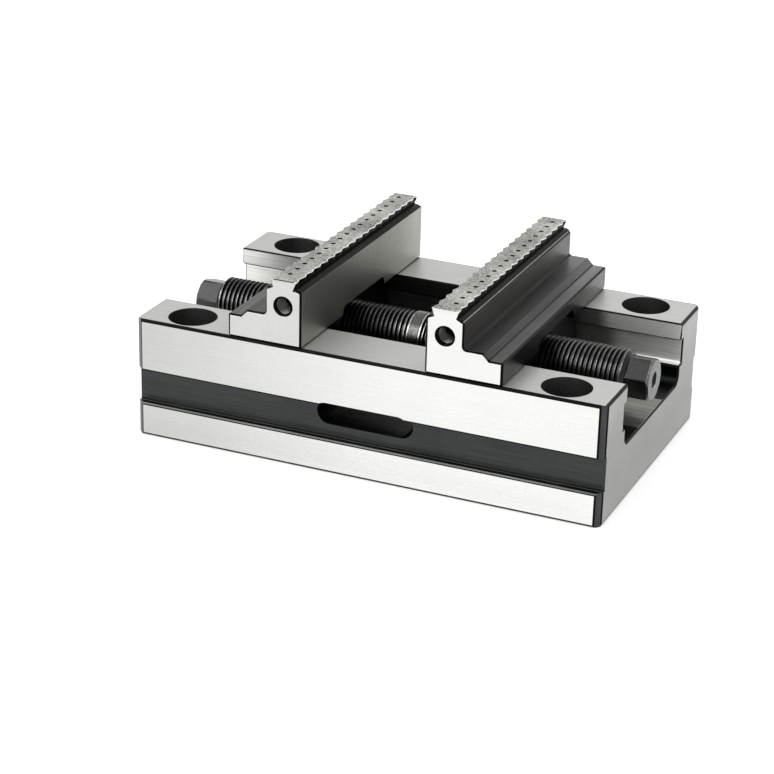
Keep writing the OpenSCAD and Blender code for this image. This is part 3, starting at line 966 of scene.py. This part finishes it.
@dataclass
class Carriage:
    """One side's moving pieces: the toothed jaw, its slide nut, and their screws and dowels.

    The stop holes' thread is given by its corners in one turn: the place, as a share of the
    pitch, and 1 at a root or 0 at a crest.
    """

    side: Side
    face_x: float = 19.6
    rail_z: float = 38.05
    ledge: float = 17.9
    near: float = 0.05
    head_ease: float = 0.3
    head_angle: float = 32
    least_edge: float = 0.6
    end_bevel: float = 0.6
    stop_in: float = 6.0
    stop_up: float = 12.3
    stop_y: float = 45.0
    stop_clear: float = 4.0
    bore_r: float = 2.5
    root_r: float = 3.0
    pitch: float = 1.0
    profile: tuple[tuple[float, int], ...] = ((0.0, 0), (0.2, 0), (0.55, 1), (0.65, 1))
    fade: float = 0.4
    bore: tuple[float, float] = (0.7, 14.0)
    columns: int = 48

    def bore_place(self, spot: Vector, end: int) -> tuple[float, float]:
        """Places a point by one of the stop holes.

        Args:
            spot: the point, in metres.
            end: -1 for the front hole and 1 for the back one.

        Returns:
            Its distance from the hole's axis and its depth in the hole, in millimetres.
        """
        x = spot.x / MM * self.side.value - self.face_x - self.stop_in
        z = spot.z / MM - self.rail_z - self.stop_up
        return math.hypot(x, z), self.stop_y - end * spot.y / MM

    def open_bore(self, shape: bmesh.types.BMesh, end: int) -> None:
        """Takes out the plain wall of a stop hole.

        Args:
            shape: the jaw.
            end: -1 for the front hole and 1 for the back one.
        """
        low, high = self.bore
        wall = []
        for face in shape.faces:
            places = [self.bore_place(v.co, end) for v in face.verts]
            if all(abs(r - self.bore_r) < self.near and low - self.near < d < high + self.near
                   for r, d in places):
                wall.append(face)
        bmesh.ops.delete(shape, geom=wall, context="FACES")

    def cut_thread(self, shape: bmesh.types.BMesh, end: int) -> None:
        """Puts a threaded wall into a stop hole: crests at the bore, roots outside it.

        Args:
            shape: the jaw.
            end: -1 for the front hole and 1 for the back one.
        """
        low, high = self.bore
        grid = []
        for index in range(self.columns):
            turn = index / self.columns
            points = [(low, self.bore_r)]
            for count in range(-1, math.ceil((high - low) / self.pitch) + 1):
                for offset, root in self.profile:
                    depth = min(high, max(low, low + (count + offset + turn) * self.pitch))
                    cut = root * clamp(min(depth - low, high - depth) / self.fade)
                    points.append((depth, self.bore_r + (self.root_r - self.bore_r) * cut))
            points.append((high, self.bore_r))
            angle = 2 * math.pi * turn * end * self.side.value
            grid.append([shape.verts.new((
                self.side.value * (self.face_x + self.stop_in + r * math.cos(angle)) * MM,
                end * (self.stop_y - depth) * MM,
                (self.rail_z + self.stop_up + r * math.sin(angle)) * MM)) for depth, r in points])
        join_columns(shape, grid, range(1, len(grid[0]) - 1), len(self.profile))

    def ease_head(self, shape: bmesh.types.BMesh) -> None:
        """Takes the sharpness off the head's edges, as stoning does.

        Args:
            shape: the jaw.
        """
        brow = self.rail_z + self.ledge
        edges = [e for e in shape.edges
                 if is_sharp(e, self.head_angle) and e.calc_length() / MM > self.least_edge
                 and max(v.co.z for v in e.verts) / MM > brow + self.near
                 and min(v.co.z for v in e.verts) / MM > brow - 3 * self.near]
        bevel(shape, edges, self.head_ease, segments=2, limited=True)

    def bevel_ends(self, shape: bmesh.types.BMesh) -> None:
        """Chamfers the outline of both end faces below the head, where the dark finish shows.

        Args:
            shape: the jaw.
        """
        brow = self.rail_z + self.ledge
        edges = [e for e in shape.edges
                 if is_sharp(e) and max(v.co.z for v in e.verts) / MM < brow + 2 * self.near
                 and all(abs(abs(v.co.y) / MM - self.stop_y) < self.near
                         and self.bore_place(v.co, 1)[0] > self.stop_clear for v in e.verts)]
        bevel(shape, edges, self.end_bevel)

    def build_jaw(self, material: bpy.types.Material) -> bpy.types.Object:
        """Builds the jaw, with eased teeth, chamfered ends and tapped stop holes.

        Args:
            material: the finish.

        Returns:
            The piece, standing for the jaw's node.
        """
        node = f"jaw_{self.side.word}"
        shape = cad_shape(node)
        self.ease_head(shape)
        self.bevel_ends(shape)
        for end in (-1, 1):
            self.open_bore(shape, end)
            self.cut_thread(shape, end)
        bmesh.ops.remove_doubles(shape, verts=shape.verts, dist=WELD)
        piece = mesh_piece(f"toothed_jaw_{self.side.word}", shape, material, 30)
        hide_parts(node)
        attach(piece, f"{self.side.word}_carriage")
        LOG.info("%s: %d faces", piece.name, len(piece.data.polygons))
        return piece

    def build(self, jaw: bpy.types.Material, oxide: bpy.types.Material,
              pin: bpy.types.Material) -> None:
        """Builds the jaw and dresses what it stands on.

        Args:
            jaw: the jaw's finish.
            oxide: the finish of the slide nut and the screws.
            pin: the dowels' finish.
        """
        self.build_jaw(jaw)
        dress(f"slide_nut_{self.side.word}", oxide)
        dress(f"jaw_screws_{self.side.word}", oxide)
        dress(f"jaw_dowels_{self.side.word}", pin)


@dataclass
class Studio:
    """Floor, world, lamps and camera: the floor and lamps in metres, the camera in millimetres.

    Each pair of levels is a light's strength, for the floor's glow by camera and by mirror
    rays, and for the world by the rays that light the object and by those two.
    """

    floor_size: float = 6.0
    floor_colour: str = "#EDEDED"
    floor_roughness: float = 0.9
    floor_levels: tuple[float, float] = (0.45, 0.28)
    world_levels: tuple[float, float] = (0.55, 1.0)
    aim: tuple[float, float, float] = (0.0, 0.0, 0.03)
    azimuth: float = 23.13
    elevation: float = 22.98
    roll: float = 1.47
    target: tuple[float, float, float] = (-11.09, 0.0, 10.61)
    distance: float = 740.73
    lens: float = 110.24
    sensor: float = 36.0
    clip: tuple[float, float] = (50.0, 20000.0)

    def seen_rays(self, tree: bpy.types.NodeTree) -> tuple[bpy.types.NodeSocket,
                                                           bpy.types.NodeSocket]:
        """Adds the tests for rays that see a background.

        Args:
            tree: the node tree.

        Returns:
            1 for mirror rays, and 1 for camera and mirror rays.
        """
        path = add_node(tree, "LightPath").outputs
        both = add_node(tree, "Math", {0: path["Is Camera Ray"], 1: path["Is Glossy Ray"]},
                        operation="MAXIMUM")
        return path["Is Glossy Ray"], both.outputs[0]

    def add_floor(self) -> None:
        """Adds the pale floor, which keeps the object's shadow."""
        shape = bmesh.new()
        bmesh.ops.create_grid(shape, x_segments=1, y_segments=1, size=self.floor_size / 2)
        material, tree, shader = blank_material("pale_studio_floor")
        shader.inputs["Base Color"].default_value = linear(self.floor_colour)
        shader.inputs["Roughness"].default_value = self.floor_roughness
        mirrored, seen = self.seen_rays(tree)
        plain, glossy = self.floor_levels
        level = add_node(tree, "MapRange", {0: mirrored, 3: plain, 4: glossy}).outputs[0]
        glow = add_node(tree, "Emission", {"Color": (1, 1, 1, 1), "Strength": level})
        both = add_node(tree, "AddShader", {0: shader.outputs[0], 1: glow.outputs[0]})
        mixed = add_node(tree, "MixShader", {0: seen, 1: shader.outputs[0], 2: both.outputs[0]})
        output = next(n for n in tree.nodes if n.bl_idname == "ShaderNodeOutputMaterial")
        tree.links.new(mixed.outputs[0], output.inputs["Surface"])
        mesh = bpy.data.meshes.new("studio_floor")
        shape.to_mesh(mesh)
        shape.free()
        mesh.materials.append(material)
        floor = bpy.data.objects.new("studio_floor", mesh)
        bpy.context.scene.collection.objects.link(floor)

    def add_world(self) -> None:
        """Sets a white surround that camera and mirror rays see, and a softer fill."""
        world = bpy.data.worlds.new("studio")
        bpy.context.scene.world = world
        world.use_nodes = True
        tree = world.node_tree
        tree.nodes.clear()
        fill, white = self.world_levels
        seen = self.seen_rays(tree)[1]
        level = add_node(tree, "MapRange", {0: seen, 3: fill, 4: white}).outputs[0]
        sky = add_node(tree, "Background", {"Color": (1, 1, 1, 1), "Strength": level})
        add_node(tree, "OutputWorld", {"Surface": sky.outputs[0]})

    def add_lamp(self, name: str, place: Sequence[float], size: float, watts: float) -> None:
        """Adds a soft square lamp aimed at the object.

        Args:
            name: the lamp's name.
            place: its place in metres.
            size: the length of its side in metres.
            watts: its power.
        """
        data = bpy.data.lights.new(name, "AREA")
        data.size, data.energy = size, watts
        lamp = bpy.data.objects.new(name, data)
        bpy.context.scene.collection.objects.link(lamp)
        lamp.location = place
        away = Vector(place) - Vector(self.aim)
        lamp.rotation_mode = "QUATERNION"
        lamp.rotation_quaternion = away.to_track_quat("Z", "Y")

    def add_camera(self) -> None:
        """Adds the camera at the photograph's viewing angle."""
        az, el, roll = (math.radians(v) for v in (self.azimuth, self.elevation, self.roll))
        back = Vector((math.sin(az) * math.cos(el), -math.cos(az) * math.cos(el), math.sin(el)))
        right = Vector((math.cos(az), math.sin(az), 0))
        level_up = back.cross(right)
        right = right * math.cos(roll) + level_up * math.sin(roll)
        up = back.cross(right)
        data = bpy.data.cameras.new("camera")
        data.sensor_width, data.lens = self.sensor, self.lens
        data.clip_start, data.clip_end = (c * MM for c in self.clip)
        camera = bpy.data.objects.new("camera", data)
        bpy.context.scene.collection.objects.link(camera)
        spot = (Vector(self.target) + back * self.distance) * MM
        turn = Matrix((right, up, back)).transposed().to_4x4()
        camera.matrix_world = Matrix.Translation(spot) @ turn
        bpy.context.scene.camera = camera

    def build(self) -> None:
        """Builds the whole studio."""
        self.add_floor()
        self.add_world()
        self.add_lamp("key_lamp", (-0.45, -0.65, 0.75), size=0.7, watts=4.5)
        self.add_lamp("top_lamp", (0.25, 0.35, 0.95), size=0.8, watts=3.0)
        self.add_camera()
        bpy.context.scene.view_settings.view_transform = "Standard"


def main() -> None:
    """Builds the vise's looks and the studio around it."""
    logging.basicConfig(level=logging.INFO, format="%(message)s")
    Studio().build()
    oxide = BlackOxideSteel().build()
    pin_steel = GroundPinSteel().build()
    Body().build(GroundBodySteel().build())
    dress("screw_bracket", BracketSteel().build())
    dress("bracket_screws", oxide)
    dress("bracket_dowels", pin_steel)
    jaw_steel = HardenedJawSteel().build()
    for side in Side:
        Carriage(side).build(jaw_steel, oxide, pin_steel)
    LeadScrew().build(BlackOxideScrewSteel().build())


if __name__ == "__main__":
    main()
